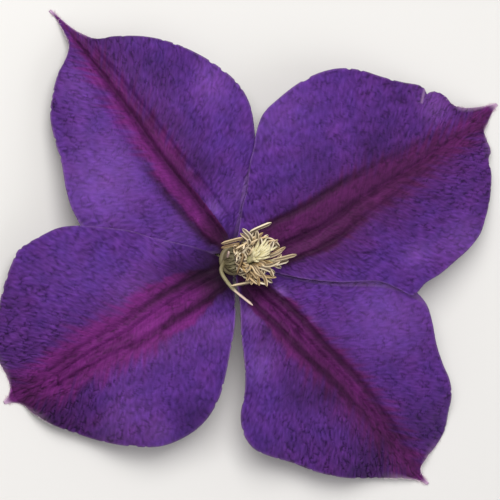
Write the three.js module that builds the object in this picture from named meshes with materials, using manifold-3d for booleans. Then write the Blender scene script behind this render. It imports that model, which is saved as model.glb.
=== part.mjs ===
// A clematis bloom with four broad pointed sepals, picked just below the flower and laid on its back.
// Millimetres, +Z up, origin on the surface it lies on, under the middle of its box.
// Outlines are given as [u, v] in millimetres as a viewer faces them, from a little to the left of the
// flower's axis: u runs to the viewer's right and v up. placed() turns them into the part's own frame.
import * as THREE from "three";
import { mergeVertices } from "three/addons/utils/BufferGeometryUtils.js";
import Module from "manifold-3d";

const wasm = await Module();
wasm.setup();

// Driving dimensions, mm and degrees
const VIEW_TILT = 20; // how far to the left of the flower's axis the viewer stands
const CLAW_HEIGHT = 8; // top of the sepals where they join
const CLAW_RADIUS = 2.3;
const CLAW_GAP = 5; // degrees left free on each side of a claw
const DOME_RISE = 4.2; // the sepals climb this much from the claws to the crown of their arch
const DOME_FROM = 3.5; // radius where the climb begins
const DOME_CROWN = 26; // radius where it ends
const WAVE_ONSET = 0.2; // share of the length over which a margin's waves grow to their full height
const SEPAL_THICKNESS = 0.8;
const SEPAL_DROOP = 12; // from the crown down to the tip
const PUFF = 1.5; // swelling between bar and margin
const ROLL = 1.3; // how far the margins turn down
const GROOVE_DEPTH = 0.75; // the three grooves of the bar, which stand out as ribs at the back
const GROOVE_SPREAD = 3.4; // from the middle groove to the side ones, at their widest
const GROOVE_AT_CLAW = 1.1;
const GROOVE_WIDTH = 0.75;
const GROOVE_OUTERMOST = 0.55; // a side groove stays within this share of the half width
const GROOVE_STARTS = [3, 7]; // radii between which the grooves deepen
const GROOVE_ENDS = [0.75, 1]; // shares of the length between which they run out
const OVERLAP = 0.65; // a margin that lies over its neighbour's is raised by this, and the other lowered
const OVERLAP_STARTS = [3.4, 5.4]; // radii between which the overlap begins
const OVERLAP_FADE = 0.15; // share of the length over which it ends
const OVERLAP_RISE = [0.2, 0.6]; // shares of the way out to the margin between which it rises or dips
const OVERLAP_CALM = [0.3, 0.75]; // and between which it flattens the puff
const TIP_HALF_WIDTH = 0.35;
const ROOM_FOR_RELIEF = 5; // a sepal narrower than this each side of its midrib has less relief
const SEPAL_ROWS = 27;
const COLUMNS_BEYOND_GROOVE = [0.14, 0.32, 0.52, 0.72, 0.88, 1]; // shares of the way from groove to margin

// Profiles of the turned bodies, [radius, height] from the bottom up
const COLLAR_TOP = 9.5;
const COLLAR_PROFILE = [
  [1.95, 8.55], [3.4, 8.55], [3.4, COLLAR_TOP - 0.3], [3.1, COLLAR_TOP], [1.95, COLLAR_TOP], [1.95, 8.55],
];
const PISTIL_PROFILE = [[0, 8.6], [1.125, 8.6], [1.25, 9.6], [1, 11.5], [0, 11.9]];
const STALK_PROFILE = [
  [0, 0.4], [1.06, 0.4], [1.15, 0.7], [1.09, 3.4], [1.32, 5.4], [2.64, 5.8], [3.3, 6.2], [3.3, 6.6], [3, 6.7],
  [1.8, 6.7], [1.6, 8], [0, 8.1],
];
const COLLAR_SIDES = 28;
const PISTIL_SIDES = 16;
const STALK_SIDES = 32;

const BRUSH_LEAN = 9; // the stamens and the pistil lean to the right
const SPREAD_TOWARDS = 15; // the direction in which the anthers spread most
const STAMENS_BY_RULE = 38;
const FILAMENT = {
  sunk: { radius: 2.7, height: COLLAR_TOP - 0.7 }, // root in the collar
  foot: { radius: 2.8, outstandingRadius: 2.9, height: COLLAR_TOP + 0.3 }, // just above the collar
  knee: { radius: 2.6, spread: 0.7, height: 12.3 },
  top: { radius: 2.4, spread: 1.3, stray: 0.4, height: 16, drop: 2.2, scatter: 1.2 },
};
const ANTHER = { // half its length, its swing to either side and its climb above the level, in degrees
  step: 2, stepScatter: 0.5, swing: 90, swingAtFoot: 1 / 6, swingOutside: 0.8,
  climb: 84, lean: 22, leanOutside: 40, bend: 75, climbScatter: 10,
};
const STAMEN_STATIONS = [ // share of a stamen's length, width and thickness there
  [0, 0.6, 0.5], [0.2, 0.7, 0.6], [0.42, 0.75, 0.6], [0.6, 0.7, 0.6], [0.67, 0.9, 0.7], [0.85, 0.9, 0.7],
  [1, 0.4, 0.35],
];
const GOLDEN_ANGLE = 137.508; // no two neighbours in a row of these turns line up
const STYLES = 11;
const STYLE_SPREAD = 1.25; // radius of the ring of the outermost styles
const STYLE_SHORTER = 0.9; // how much shorter than the longest a style may be
const STYLE_STATIONS = [ // height, distance from the axis as a share of the style's ring, and half width
  [10.3, 0.6, 0.3], [14.25, 0.8, 0.3], [17, 0.7, 0.16],
];

const rad = THREE.MathUtils.degToRad;
const tilt = { cos: Math.cos(rad(VIEW_TILT)), sin: Math.sin(rad(VIEW_TILT)) };

/** 0 below from, 1 above to, and smooth between. */
const ramp = (x, from, to) => THREE.MathUtils.smoothstep(x, from, to);

/** An even scatter of 0..1, the same each time, for the k-th stamen's n-th draw. */
function scatter(k, n) {
  const wide = Math.sin(k * 12.9898 + n * 78.233) * 43758.5453;
  return wide - Math.floor(wide);
}

/** The place of a point that the viewer sees at [u, v] and that lies z above the surface. */
function placed(u, v, z) {
  return new THREE.Vector3((u - (z - CLAW_HEIGHT) * tilt.sin) / tilt.cos, v, z);
}

// ---------------------------------------------------------------- sepals
// left and right are the margins as seen when looking outwards from the middle, from claw to tip, and midrib
// is the middle groove, which ends at the tip. seams are the directions of the joints with the neighbours.
// over is 1 where a margin lies over its neighbour's and -1 where it lies under, as far as the share until.
// waves ripple a margin from the share from on.
const SEPALS = {
  sepal_upper_left: {
    colour: 0x5b3590,
    droop: { from: 24, to: 67.5 },
    midrib: [
      [-2, 5], [-7, 12], [-15, 22], [-22, 32], [-29.3, 41.8], [-34.4, 48.2], [-37, 51.5], [-40.2, 55.2],
    ],
    left: {
      seam: 156, over: -1, until: 0.45, waves: { height: 0.9, count: 4, from: 0.5, phase: 0.1 },
      margin: [
        [-4.2, 1.8], [-7.5, 1.9], [-11.5, 1.7], [-18, 2.5], [-25, 3.5], [-30.5, 5.5], [-34.5, 10], [-36.3, 15],
        [-37.5, 21.5], [-39, 26.5], [-40, 31.5], [-39.5, 36.5], [-38.2, 41.5], [-36.5, 45], [-36, 47.5],
        [-37, 50], [-39, 53.5],
      ],
    },
    right: {
      seam: 80, over: -1, until: 0.32, waves: { height: 0.8, count: 4, from: 0.4, phase: 0.6 },
      margin: [
        [0.8, 6.5], [2, 12], [2.5, 15.5], [3.2, 18.5], [4.3, 21.5], [5.2, 25], [5, 29], [4, 34.5], [1.5, 39],
        [-3, 43], [-8, 46], [-13.5, 48.3], [-19.5, 49.6], [-26, 49.6], [-30, 49], [-34, 50.5], [-38, 53.5],
      ],
    },
  },
  sepal_upper_right: {
    colour: 0x55338a,
    droop: { from: 24, to: 71 },
    midrib: [
      [6, 1], [12, 3.7], [20, 7.5], [28.5, 13.5], [38.5, 19.5], [46, 24.5], [52.5, 28.8], [57, 32.2],
      [60, 35.3],
    ],
    left: {
      seam: 80, over: 1, until: 0.32, waves: { height: 1, count: 4.5, from: 0.42, phase: 0.2 },
      margin: [
        [1.5, 6.5], [2.3, 12], [3.2, 15], [3.6, 18], [4, 21.5], [4.9, 25], [5.5, 28.5], [7, 32.5], [10.5, 36],
        [15, 39.5], [19.5, 41.8], [24, 42.9], [28.5, 42.6], [33.5, 41.1], [38, 40], [42.5, 39.2],
        [43.4, 38.4], [43.2, 37.2], [44, 37.6], [46, 38], [48, 37], [49.5, 35.2], [52, 34.4], [56, 34.6],
      ],
    },
    right: {
      seam: -14, over: 1, until: 0.68, waves: { height: 1, count: 4, from: 0.7, phase: 0 },
      margin: [
        [4.5, -1.1], [8, -2.3], [15, -4], [23, -4.9], [33.5, -5], [37.5, -6.6], [40.5, -7.9], [43.5, -5.1],
        [46.5, -3.3], [50.5, 0], [53.5, 2.7], [56, 6], [57.2, 9.5], [58.2, 13.5], [58.6, 19.5], [58, 22.7],
        [58.5, 24.5], [57.5, 27.5], [57, 29], [57.9, 31], [59, 33.5],
      ],
    },
  },
  sepal_lower_right: {
    colour: 0x563289,
    droop: { from: 24, to: 67 },
    midrib: [
      [1.8, -3.3], [5, -6.5], [12, -13], [18.5, -20], [25, -26.5], [32, -35], [37.8, -43], [41.2, -47.9],
      [44.2, -50.6],
    ],
    left: {
      seam: -14, over: -1, until: 0.55, waves: { height: 0.9, count: 4, from: 0.5, phase: 0.4 },
      margin: [
        [4.5, -1.8], [8, -2.7], [15, -4.4], [23, -5.6], [33.5, -5.9], [38.5, -7.2], [42.5, -9.3], [44, -11],
        [45, -14], [46, -19], [47.5, -23.5], [49, -27], [49.5, -30.5], [48.7, -35], [48, -38.5], [46, -42],
        [44, -44.5], [42.5, -47], [43, -48.7],
      ],
    },
    right: {
      seam: -82, over: 0, until: 0, waves: { height: 1, count: 4, from: 0.25, phase: 0.3 },
      margin: [
        [1.3, -6.5], [1.8, -10], [2.1, -16.5], [2.9, -24], [2.9, -29], [2, -34], [2.1, -36.5], [3, -39.5],
        [5, -42], [8.2, -43.6], [13.5, -45.3], [19, -47.4], [26, -48.9], [35, -49.1], [40, -49.4],
        [42.5, -50],
      ],
    },
  },
  sepal_lower_left: {
    colour: 0x5c3384,
    droop: { from: 28, to: 59.5 },
    midrib: [
      [-2.5, -3], [-7, -5.7], [-15, -10.3], [-22.5, -15.5], [-30.5, -20], [-38, -25], [-44.5, -28.8],
      [-47.7, -30.2], [-50.2, -31.5],
    ],
    left: {
      seam: -82, over: 0, until: 0, waves: { height: 1, count: 4, from: 0.25, phase: 0.8 },
      margin: [
        [0.5, -6.5], [0.8, -10.5], [0.5, -15.5], [-0.5, -21], [-1.5, -26], [-3, -31], [-6, -35.8], [-10, -39],
        [-15.5, -41.2], [-22.5, -41.2], [-28.5, -40.2], [-34, -38.5], [-39.5, -36.4], [-44, -33.8],
        [-46.2, -32], [-48.2, -31.5],
      ],
    },
    right: {
      seam: 156, over: 1, until: 0.45, waves: { height: 1, count: 4.5, from: 0.5, phase: 0.5 },
      margin: [
        [-4.2, 1.3], [-6.5, 2.3], [-9.5, 3.2], [-13, 4], [-18, 5.1], [-22, 6.4], [-27, 7.1], [-33.5, 7.6],
        [-38, 7.1], [-42.5, 5], [-46.8, 2.4], [-48.5, -1], [-50, -5], [-51.2, -9.5], [-52, -14.5], [-52, -19],
        [-51.3, -22.5], [-49.9, -25.2], [-49, -27.8], [-49.3, -29.8],
      ],
    },
  },
};

/** A point of the ring of claws in the direction of the given degrees. */
function clawPoint(degrees) {
  return [CLAW_RADIUS * Math.cos(rad(degrees)) * tilt.cos, CLAW_RADIUS * Math.sin(rad(degrees))];
}

const LENGTH_STEPS = 600; // pieces in which a line's length is measured

/** The smooth line through the points, ready to be asked for the place at a share of its length. */
function smoothLine(points) {
  const line = new THREE.CatmullRomCurve3(points.map(([u, v]) => new THREE.Vector3(u, v, 0)));
  line.arcLengthDivisions = LENGTH_STEPS;
  return line;
}

/** The midrib and both margins of a sepal, from its claw to its tip. */
function sepalLines({ midrib, left, right }) {
  const tip = midrib.at(-1);
  const before = midrib.at(-2);
  const run = Math.hypot(tip[0] - before[0], tip[1] - before[1]);
  const aside = [
    (TIP_HALF_WIDTH * (before[1] - tip[1])) / run,
    (TIP_HALF_WIDTH * (tip[0] - before[0])) / run,
  ];
  const middle = (left.seam + right.seam + (left.seam < right.seam ? 360 : 0)) / 2;
  return {
    midrib: smoothLine([clawPoint(middle), ...midrib]),
    left: smoothLine([
      clawPoint(left.seam - CLAW_GAP), ...left.margin, [tip[0] + aside[0], tip[1] + aside[1]],
    ]),
    right: smoothLine([
      clawPoint(right.seam + CLAW_GAP), ...right.margin, [tip[0] - aside[0], tip[1] - aside[1]],
    ]),
  };
}

/** How far the side grooves lie from the middle one, as a share of the half width. */
function grooveAcross(share, halfWidth) {
  const away = GROOVE_AT_CLAW + (GROOVE_SPREAD - GROOVE_AT_CLAW) * Math.sin(Math.PI * Math.sqrt(share));
  return Math.min(GROOVE_OUTERMOST, away / halfWidth);
}

/** Height of the sepal's face at a share of its length, across from -1 (left margin) to 1 (right margin). */
function faceHeight(sepal, share, across, point, halfWidth) {
  const side = across < 0 ? sepal.left : sepal.right;
  const out = Math.abs(across);
  const radius = Math.hypot(point.x / tilt.cos, point.y);
  const climb = THREE.MathUtils.clamp((radius - DOME_FROM) / (DOME_CROWN - DOME_FROM), 0, 1);
  const { from, to } = sepal.droop;
  const room = Math.min(1, halfWidth / ROOM_FOR_RELIEF);
  const body = Math.sin(Math.PI * share) * room;
  let z = CLAW_HEIGHT + (DOME_RISE * (1 - Math.cos(Math.PI * climb))) / 2;
  z -= SEPAL_DROOP * (Math.max(0, radius - from) / (to - from)) ** 2;
  const lap = Math.abs(side.over) * ramp(radius, ...OVERLAP_STARTS)
    * (1 - ramp(share, side.until, side.until + OVERLAP_FADE));
  z += PUFF * body * Math.sin(Math.PI * out) * (1 - lap * ramp(out, ...OVERLAP_CALM));
  z -= ROLL * body * out ** 4 * (1 - lap);
  z += OVERLAP * side.over * lap * ramp(out, ...OVERLAP_RISE);
  const { height, count, from: onset, phase } = side.waves;
  z += height * room * ramp(share, onset, onset + WAVE_ONSET) * out ** 2
    * Math.sin(2 * Math.PI * (count * share + phase));
  const grooved = room * ramp(radius, ...GROOVE_STARTS) * (1 - ramp(share, ...GROOVE_ENDS));
  const spread = grooveAcross(share, halfWidth);
  for (const middle of [-spread, 0, spread]) {
    const away = ((across - middle) * halfWidth) / GROOVE_WIDTH;
    z -= GROOVE_DEPTH * grooved * Math.exp(-away * away);
  }
  return Math.max(z, SEPAL_THICKNESS);
}

/** The shares of the half width where a row has its points: on the grooves, midway, and out to the margin. */
function columnsAcross(spread) {
  const beyond = COLUMNS_BEYOND_GROOVE.map((share) => spread + (1 - spread) * share);
  const side = [spread / 2, spread, ...beyond];
  return [...side.map((across) => -across).reverse(), 0, ...side];
}

/** A closed sheet between an upper and a lower grid of points, cut into triangles alike on both faces. */
function sheetGeometry(upper, lower) {
  const rows = upper.length;
  const columns = upper[0].length;
  const places = [...upper.flat(), ...lower.flat()].flatMap((p) => [p.x, p.y, p.z]);
  const top = (i, j) => i * columns + j;
  const bottom = (i, j) => rows * columns + top(i, j);
  const faces = [];
  for (let i = 0; i + 1 < rows; i++) {
    for (let j = 0; j + 1 < columns; j++) {
      faces.push(top(i, j), top(i, j + 1), top(i + 1, j));
      faces.push(top(i, j + 1), top(i + 1, j + 1), top(i + 1, j));
      faces.push(bottom(i, j), bottom(i + 1, j), bottom(i, j + 1));
      faces.push(bottom(i, j + 1), bottom(i + 1, j), bottom(i + 1, j + 1));
    }
  }
  const rim = [];
  for (let j = 0; j + 1 < columns; j++) rim.push([0, j]);
  for (let i = 0; i + 1 < rows; i++) rim.push([i, columns - 1]);
  for (let j = columns - 1; j > 0; j--) rim.push([rows - 1, j]);
  for (let i = rows - 1; i > 0; i--) rim.push([i, 0]);
  rim.forEach((here, n) => {
    const next = rim[(n + 1) % rim.length];
    faces.push(top(...here), bottom(...here), bottom(...next));
    faces.push(top(...here), bottom(...next), top(...next));
  });
  const geometry = new THREE.BufferGeometry();
  geometry.setAttribute("position", new THREE.Float32BufferAttribute(places, 3));
  geometry.setIndex(faces);
  return geometry;
}

/** One sepal: a thin arched sheet between its margins, grooved along its bar and waved at its edges. */
function sepalGeometry(sepal) {
  const lines = sepalLines(sepal);
  const upper = [];
  const lower = [];
  for (let i = 0; i <= SEPAL_ROWS; i++) {
    const share = i / SEPAL_ROWS;
    const middle = lines.midrib.getPointAt(share);
    const sides = [lines.left.getPointAt(share), lines.right.getPointAt(share)];
    const halfWidths = sides.map((side) => side.distanceTo(middle));
    const spread = grooveAcross(share, Math.min(...halfWidths));
    const face = columnsAcross(spread).map((across) => {
      const n = across < 0 ? 0 : 1;
      const point = middle.clone().lerp(sides[n], Math.abs(across));
      return placed(point.x, point.y, faceHeight(sepal, share, across, point, halfWidths[n]));
    });
    upper.push(face);
    lower.push(face.map((p) => new THREE.Vector3(p.x, p.y, p.z - SEPAL_THICKNESS)));
  }
  return sheetGeometry(upper, lower);
}

// ---------------------------------------------------------------- stamens
// Stamens that stand out of the brush. root is the direction of the root on the collar, and path holds the
// points [u, v, height] that the filament and the anther pass, the last two being the ends of the anther.
const OUTSTANDING_STAMENS = [
  { root: 75, path: [[4.1, 6.1, 16.2], [8.8, 8.3, 17.6]] },
  { root: 98, path: [[4.2, 4.9, 18], [2.3, 7, 17.2]] },
  { root: 116, path: [[3.8, 4.2, 17.4], [1.8, 6, 16.2]] },
  { root: 138, path: [[2.2, 4.7, 16.4], [-2.4, 3.6, 15.2]] },
  { root: 156, path: [[1.5, 3.5, 15.6], [-2.4, 2.7, 14]] },
  { root: 130, path: [[3.4, 3.8, 17], [0.7, 2.4, 16.8]] },
  { root: 176, path: [[-1.6, 1.1, 13.4], [-0.7, 1.3, 15.6]] },
  { root: 200, path: [[2.5, 0.7, 17.6], [1.3, -2.6, 15.6]] },
  { root: 66, path: [[5.4, 4.8, 17.8], [6.9, 6.1, 18.6]] },
  { root: 50, path: [[6.6, 4.2, 17.6], [8, 5.6, 18.2]] },
  { root: 34, path: [[8.3, 4.6, 16.8], [10.6, 2.9, 16.4]] },
  { root: 18, path: [[9.2, 1.4, 16.8], [11.9, 2.9, 16.9]] },
  { root: 2, path: [[8.1, -0.2, 16.8], [14.4, 1.2, 17]] },
  { root: -14, path: [[8.2, -1.1, 16.4], [12.6, -0.1, 16]] },
  { root: -32, path: [[6.6, -1.6, 17.6], [9.6, -2.8, 16.8]] },
  { root: -50, path: [[6.4, -3.4, 16.2], [9, -5, 15]] },
  { root: 222, path: [[3, -2.8, 15.6], [0.3, -5.5, 13.6]] },
  { root: 252, path: [[4.6, -3.4, 16.4], [3, -4.8, 15.2]] },
  { root: 190, path: [[-2.4, -2.4, 10.9], [-0.2, -5.9, 11.6], [4.7, -10.1, 12.4]] },
];

/** Leans a point of the brush to the right, the more the higher it is. */
function leaning(radius, degrees, z) {
  const lean = (z - CLAW_HEIGHT) * Math.tan(rad(BRUSH_LEAN));
  return new THREE.Vector3(radius * Math.cos(rad(degrees)) + lean, radius * Math.sin(rad(degrees)), z);
}

/** The filament's and the anther's line of an outstanding stamen. */
function outstandingLine({ root, path }) {
  const { sunk, foot } = FILAMENT;
  return [
    leaning(sunk.radius, root, sunk.height),
    leaning(foot.outstandingRadius, root, foot.height),
    ...path.map((point) => placed(...point)),
  ];
}

/** The line of the k-th stamen of the brush. Roots wind round the collar by the golden angle. The inner
 *  filaments stand straighter and taller, and each anther leans out from the top of its filament, swings to
 *  one side and bends over. The anthers spread most on the side that the brush leans to. */
function brushLine(k) {
  const { sunk, foot, knee, top } = FILAMENT;
  const turn = k * GOLDEN_ANGLE;
  const outward = (k + 0.5) / STAMENS_BY_RULE;
  const swing = ANTHER.swing * (scatter(k, 3) - 0.5);
  const step = ANTHER.step + ANTHER.stepScatter * scatter(k, 2);
  const spread = 0.6 + 0.4 * Math.cos(rad(turn - SPREAD_TOWARDS)); // 1 on the side it spreads to, 0.2 behind
  let radius = top.radius + top.spread * outward * spread + top.stray * scatter(k, 4);
  let z = top.height - top.drop * outward + top.scatter * scatter(k, 1);
  const points = [
    leaning(sunk.radius, turn, sunk.height),
    leaning(foot.radius, turn, foot.height),
    leaning(knee.radius + knee.spread * outward, turn, knee.height),
    leaning(radius, turn + swing * ANTHER.swingAtFoot, z),
  ];
  for (const share of [0.5, 1]) {
    const bend = ANTHER.bend * (share - 0.5) * scatter(k, 5);
    const lean = ANTHER.lean + ANTHER.leanOutside * outward + bend + ANTHER.climbScatter * scatter(k, 6);
    const climb = ANTHER.climb - spread * lean;
    radius += step * Math.cos(rad(climb)) * Math.cos(rad(swing * share));
    z += step * Math.sin(rad(climb));
    points.push(leaning(radius, turn + swing * share * ANTHER.swingOutside, z));
  }
  return points;
}

/** The four corners of a square ring round the middle, half a width and half a thickness away. */
function squareRing(middle, wide, deep) {
  return [[-1, -1], [1, -1], [1, 1], [-1, 1]].map(([a, b]) =>
    middle.clone().addScaledVector(wide, a).addScaledVector(deep, b));
}

/** A stamen as a closed four-sided strap along its line: the filament, narrow at its root, then the thicker
 *  anther with its narrow tip. Its broad side faces out at the root and is carried along without twist. */
function stamenGeometry(points) {
  const line = new THREE.CatmullRomCurve3(points);
  const wide = new THREE.Vector3(0, 0, 1).cross(points[0].clone().setZ(0));
  const rings = STAMEN_STATIONS.map(([share, width, thickness]) => {
    const here = line.getPointAt(share);
    const along = line.getTangentAt(share);
    wide.addScaledVector(along, -wide.dot(along)).normalize();
    const deep = along.clone().cross(wide);
    return squareRing(here, wide.clone().multiplyScalar(width / 2), deep.multiplyScalar(thickness / 2));
  });
  return tubeGeometry(rings);
}

/** A closed tube through rings of points, each ring running anticlockwise as seen from the tube's far end. */
function tubeGeometry(rings) {
  const sides = rings[0].length;
  const faces = [];
  for (let i = 0; i + 1 < rings.length; i++) {
    for (let j = 0; j < sides; j++) {
      const a = i * sides + j;
      const b = i * sides + ((j + 1) % sides);
      faces.push(a, b, b + sides, a, b + sides, a + sides);
    }
  }
  const last = (rings.length - 1) * sides;
  for (let j = 1; j + 1 < sides; j++) {
    faces.push(0, j + 1, j);
    faces.push(last, last + j, last + j + 1);
  }
  const geometry = new THREE.BufferGeometry();
  geometry.setAttribute("position", new THREE.Float32BufferAttribute(
    rings.flat().flatMap((p) => [p.x, p.y, p.z]), 3));
  geometry.setIndex(faces);
  return geometry;
}

/** A closed body of revolution about +Z from its profile of [radius, height] points. */
function turnedGeometry(profile, sides) {
  const geometry = new THREE.LatheGeometry(profile.map(([r, z]) => new THREE.Vector2(r, z)), sides);
  return geometry.rotateX(Math.PI / 2);
}

const SAME_PLACE = 1e-4; // mm, corners closer than this are one

/** The closed geometry as a solid that can be joined to others. */
function solidOf(geometry) {
  const bare = geometry.clone();
  bare.deleteAttribute("normal");
  bare.deleteAttribute("uv");
  const merged = mergeVertices(bare, SAME_PLACE);
  return new wasm.Manifold(new wasm.Mesh({
    numProp: 3,
    vertProperties: merged.attributes.position.array,
    triVerts: new Uint32Array(merged.index.array),
  }));
}

/** All the closed geometries joined into one. A hollow that the joining seals is filled, because only the
 *  largest skin is kept. */
function joined(geometries) {
  const whole = geometries.map(solidOf).reduce((sum, next) => sum.add(next));
  const skins = whole.decompose().sort((a, b) => b.volume() - a.volume());
  const mesh = skins[0].getMesh();
  const geometry = new THREE.BufferGeometry();
  geometry.setAttribute("position", new THREE.Float32BufferAttribute(mesh.vertProperties, 3));
  geometry.setIndex([...mesh.triVerts]);
  return geometry;
}

/** The stamens, rooted in the collar that carries them. */
function stamensGeometry() {
  const collar = turnedGeometry(COLLAR_PROFILE, COLLAR_SIDES);
  const lines = [
    ...OUTSTANDING_STAMENS.map(outstandingLine),
    ...Array.from({ length: STAMENS_BY_RULE }, (_, k) => brushLine(k)),
  ];
  return joined([collar, ...lines.map(stamenGeometry)]);
}

/** The pistil: a slim core that ends in a tuft of short styles. */
function pistilGeometry() {
  const core = turnedGeometry(PISTIL_PROFILE, PISTIL_SIDES);
  const tuft = Array.from({ length: STYLES }, (_, k) => {
    const turn = rad(k * GOLDEN_ANGLE);
    const out = STYLE_SPREAD * Math.sqrt((k + 0.5) / STYLES);
    return tubeGeometry(STYLE_STATIONS.map(([height, share, half], n) => {
      const z = n === STYLE_STATIONS.length - 1 ? height - STYLE_SHORTER * scatter(k, 7) : height;
      const middle = new THREE.Vector3(share * out * Math.cos(turn), share * out * Math.sin(turn), z);
      return squareRing(middle, new THREE.Vector3(half, 0, 0), new THREE.Vector3(0, half, 0));
    }));
  });
  const geometry = joined([core, ...tuft]);
  const lean = Math.tan(rad(BRUSH_LEAN));
  const places = geometry.attributes.position;
  for (let n = 0; n < places.count; n++) {
    places.setX(n, places.getX(n) + (places.getZ(n) - CLAW_HEIGHT) * lean);
  }
  return geometry;
}

/** The cut stalk, which widens into the disc that carries the sepals. */
function stalkGeometry() {
  return turnedGeometry(STALK_PROFILE, STALK_SIDES);
}

/** A named mesh with the colour and finish of its material. */
function piece(name, geometry, color, roughness) {
  geometry.computeVertexNormals();
  const material = new THREE.MeshStandardMaterial({ color, roughness, metalness: 0 });
  const mesh = new THREE.Mesh(geometry, material);
  mesh.name = name;
  return mesh;
}

const VELVETY = 0.75; // roughness of the sepals
const PAPERY = 0.8; // of the stamens and the pistil
const FIRM = 0.7; // of the stalk

const flower = new THREE.Group();
for (const [name, sepal] of Object.entries(SEPALS)) {
  flower.add(piece(name, sepalGeometry(sepal), sepal.colour, VELVETY));
}
flower.add(piece("stamens", stamensGeometry(), 0xc8b88a, PAPERY));
flower.add(piece("pistil", pistilGeometry(), 0xb9b27a, PAPERY));
flower.add(piece("flower_stalk", stalkGeometry(), 0x6f6a45, FIRM));

// The part's origin lies under the middle of its box.
const box = new THREE.Box3().setFromObject(flower, true);
const centre = box.getCenter(new THREE.Vector3());
flower.children.forEach((mesh) => mesh.geometry.translate(-centre.x, -centre.y, -box.min.z));

export default flower;
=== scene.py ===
# A clematis bloom with four broad pointed sepals round a brush of cream stamens, picked just below the
# flower and lying on its back. Every shape is a surface worked out on a grid with numpy, in millimetres,
# about the flower's own axis, and put into its mesh in metres. Outlines are [u, v] as a viewer faces them
# who stands VIEW_TILT to the left of that axis: u runs to the viewer's right and v up.
import math
from types import SimpleNamespace

import bpy
import numpy as np
from mathutils import Matrix, Vector


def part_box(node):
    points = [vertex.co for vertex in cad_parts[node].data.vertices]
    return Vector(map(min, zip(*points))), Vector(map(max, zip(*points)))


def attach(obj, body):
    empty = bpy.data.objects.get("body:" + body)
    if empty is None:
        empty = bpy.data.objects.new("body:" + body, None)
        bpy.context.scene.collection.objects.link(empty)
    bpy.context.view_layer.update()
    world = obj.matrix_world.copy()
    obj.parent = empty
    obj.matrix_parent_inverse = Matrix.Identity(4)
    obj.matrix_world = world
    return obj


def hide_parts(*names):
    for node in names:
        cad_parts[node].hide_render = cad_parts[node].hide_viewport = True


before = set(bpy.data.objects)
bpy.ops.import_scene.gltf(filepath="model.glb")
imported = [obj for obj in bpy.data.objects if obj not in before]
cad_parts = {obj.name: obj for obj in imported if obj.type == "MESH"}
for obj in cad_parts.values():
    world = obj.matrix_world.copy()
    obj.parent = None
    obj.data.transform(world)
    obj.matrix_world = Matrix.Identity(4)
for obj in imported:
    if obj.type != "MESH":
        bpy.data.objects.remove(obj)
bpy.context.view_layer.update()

MM = 0.001
stalk_low, stalk_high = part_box("flower_stalk")
AXIS = np.array([(stalk_low.x + stalk_high.x) / 2, (stalk_low.y + stalk_high.y) / 2, 0]) / MM

# ---------------------------------------------------------------- driving dimensions, mm and degrees
VIEW_TILT = 20
TILT_COS = math.cos(math.radians(VIEW_TILT))
TILT_SIN = math.sin(math.radians(VIEW_TILT))
CLAW_HEIGHT = 8  # above the floor; the claws are the narrow feet of the sepals
CLAW_RADIUS = 2.3
CLAW_GAP = 5  # from the side of a claw to the joint between two sepals
DOME_RISE = 4.2  # a sepal arches up by this much
DOME_FROM = 3.5  # from here, out from the flower's axis,
DOME_CROWN = 26  # to here
SEPAL_DROOP = 12  # and its tip hangs this much below the dome
PUFF = 1.5  # height of the swelling half way out to a margin
ROLL = 1.3  # how far a margin rolls down
GROOVE_DEPTH = 0.75
GROOVE_AT_CLAW = 1.1  # from the midrib to the side groove at the claw
GROOVE_WIDTH = 0.75
OVERLAP = 0.65  # lift of a margin that lies over its neighbour's, and dip of one that lies under
TIP_HALF_WIDTH = 0.35
ROOM_FOR_RELIEF = 5  # all relief is lower where a sepal's half is narrower than this
SEPAL_ROWS = 300
SEPAL_COLUMNS = 157
BLADE = 0.42  # a sepal's thickness between its veins
BLADE_AT_MARGIN = 0.16
SAMPLES_PER_SPAN = 40  # of a smooth line


def ramp(x, low, high):
    """0 below low, 1 above high, and smooth between: 3t2 - 2t3 of the share t of the way."""
    t = np.clip((x - low) / (high - low), 0, 1)
    return t * t * (3 - 2 * t)


def scatter(i, j, seed):
    """A fixed scatter of 0..1 for each pair of whole numbers: the fraction of a large sine."""
    wide = np.sin(i * 127.1 + j * 311.7 + seed * 74.7) * 43758.5453
    return wide - np.floor(wide)


def swells(x, y, seed):
    """Soft noise of about -1..1 with features one unit wide: each corner of a unit square gives a plane
    through the corner that climbs in a scattered direction, and the four are blended smoothly."""
    i, j = np.floor(x), np.floor(y)
    s, t = x - i, y - j
    total = 0
    for di in (0, 1):
        for dj in (0, 1):
            turn = 2 * np.pi * scatter(i + di, j + dj, seed)
            plane = np.cos(turn) * (s - di) + np.sin(turn) * (t - dj)
            total = total + plane * ramp(np.abs(s - di), 1, 0) * ramp(np.abs(t - dj), 1, 0)
    return 1.6 * total


def cells(x, y, seed):
    """How far each place is from the border of its cell, 0 on the border: the distance to the second
    nearest minus the distance to the nearest of points scattered one in each unit square."""
    i, j = np.floor(x), np.floor(y)
    nearest = np.full(x.shape, np.inf)
    second = nearest
    for di in (-1, 0, 1):
        for dj in (-1, 0, 1):
            a, b = i + di, j + dj
            away = np.hypot(a + scatter(a, b, seed) - x, b + scatter(a, b, seed + 1) - y)
            second = np.minimum(second, np.maximum(nearest, away))
            nearest = np.minimum(nearest, away)
    return second - nearest


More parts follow.
